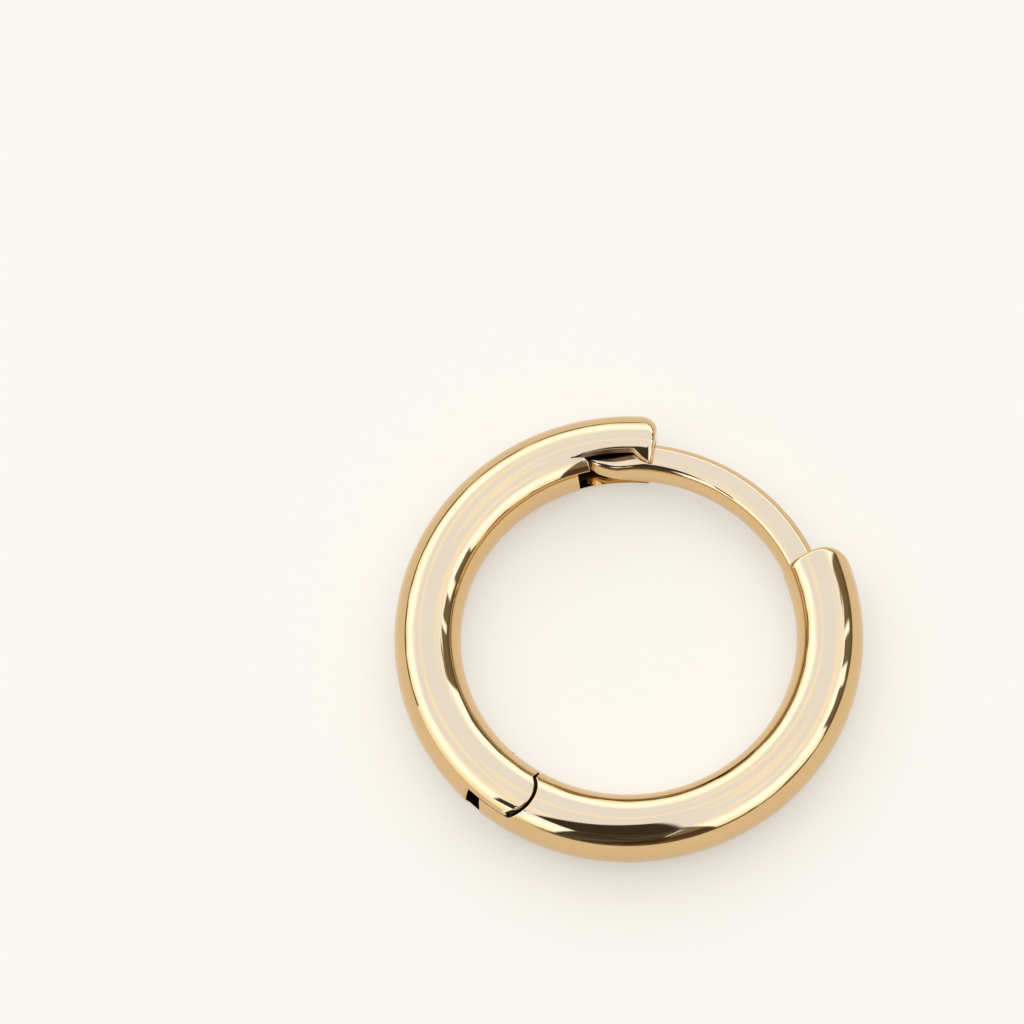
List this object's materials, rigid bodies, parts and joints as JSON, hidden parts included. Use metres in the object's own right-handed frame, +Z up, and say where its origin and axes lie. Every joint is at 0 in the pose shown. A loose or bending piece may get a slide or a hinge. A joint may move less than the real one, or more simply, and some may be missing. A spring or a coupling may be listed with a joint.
{
  "type": "huggie hoop earring",
  "caption": "Small hinged hoop earring of oval gold tube, closed, lying on its side, with a flat ear wire held in a channel.",
  "frame": {"origin": "under the hoop's centre, on the surface that it lies on", "axes": "+Z up along the hoop's own axis; +X to the right and +Y away from the camera in the picture"},
  "size_m": [0.013, 0.013, 0.0021],
  "materials": {
    "catch_half_gold": "mirror polished yellow gold",
    "post_half_gold": "mirror polished yellow gold",
    "hinge_pin_gold": "drawn yellow gold wire"
  },
  "bodies": {
    "catch": {"catch_half": "catch_half_gold", "hinge_pin": "hinge_pin_gold"},
    "post": {"post_half": "post_half_gold"}
  },
  "joints": [
    {"name": "hoop_hinge", "type": "hinge", "parent": "catch", "child": "post", "pos_m": [-0.00351, -0.00446, 0.00103], "axis": [0, 0, -1], "range_deg": [0, 45]}
  ]
}
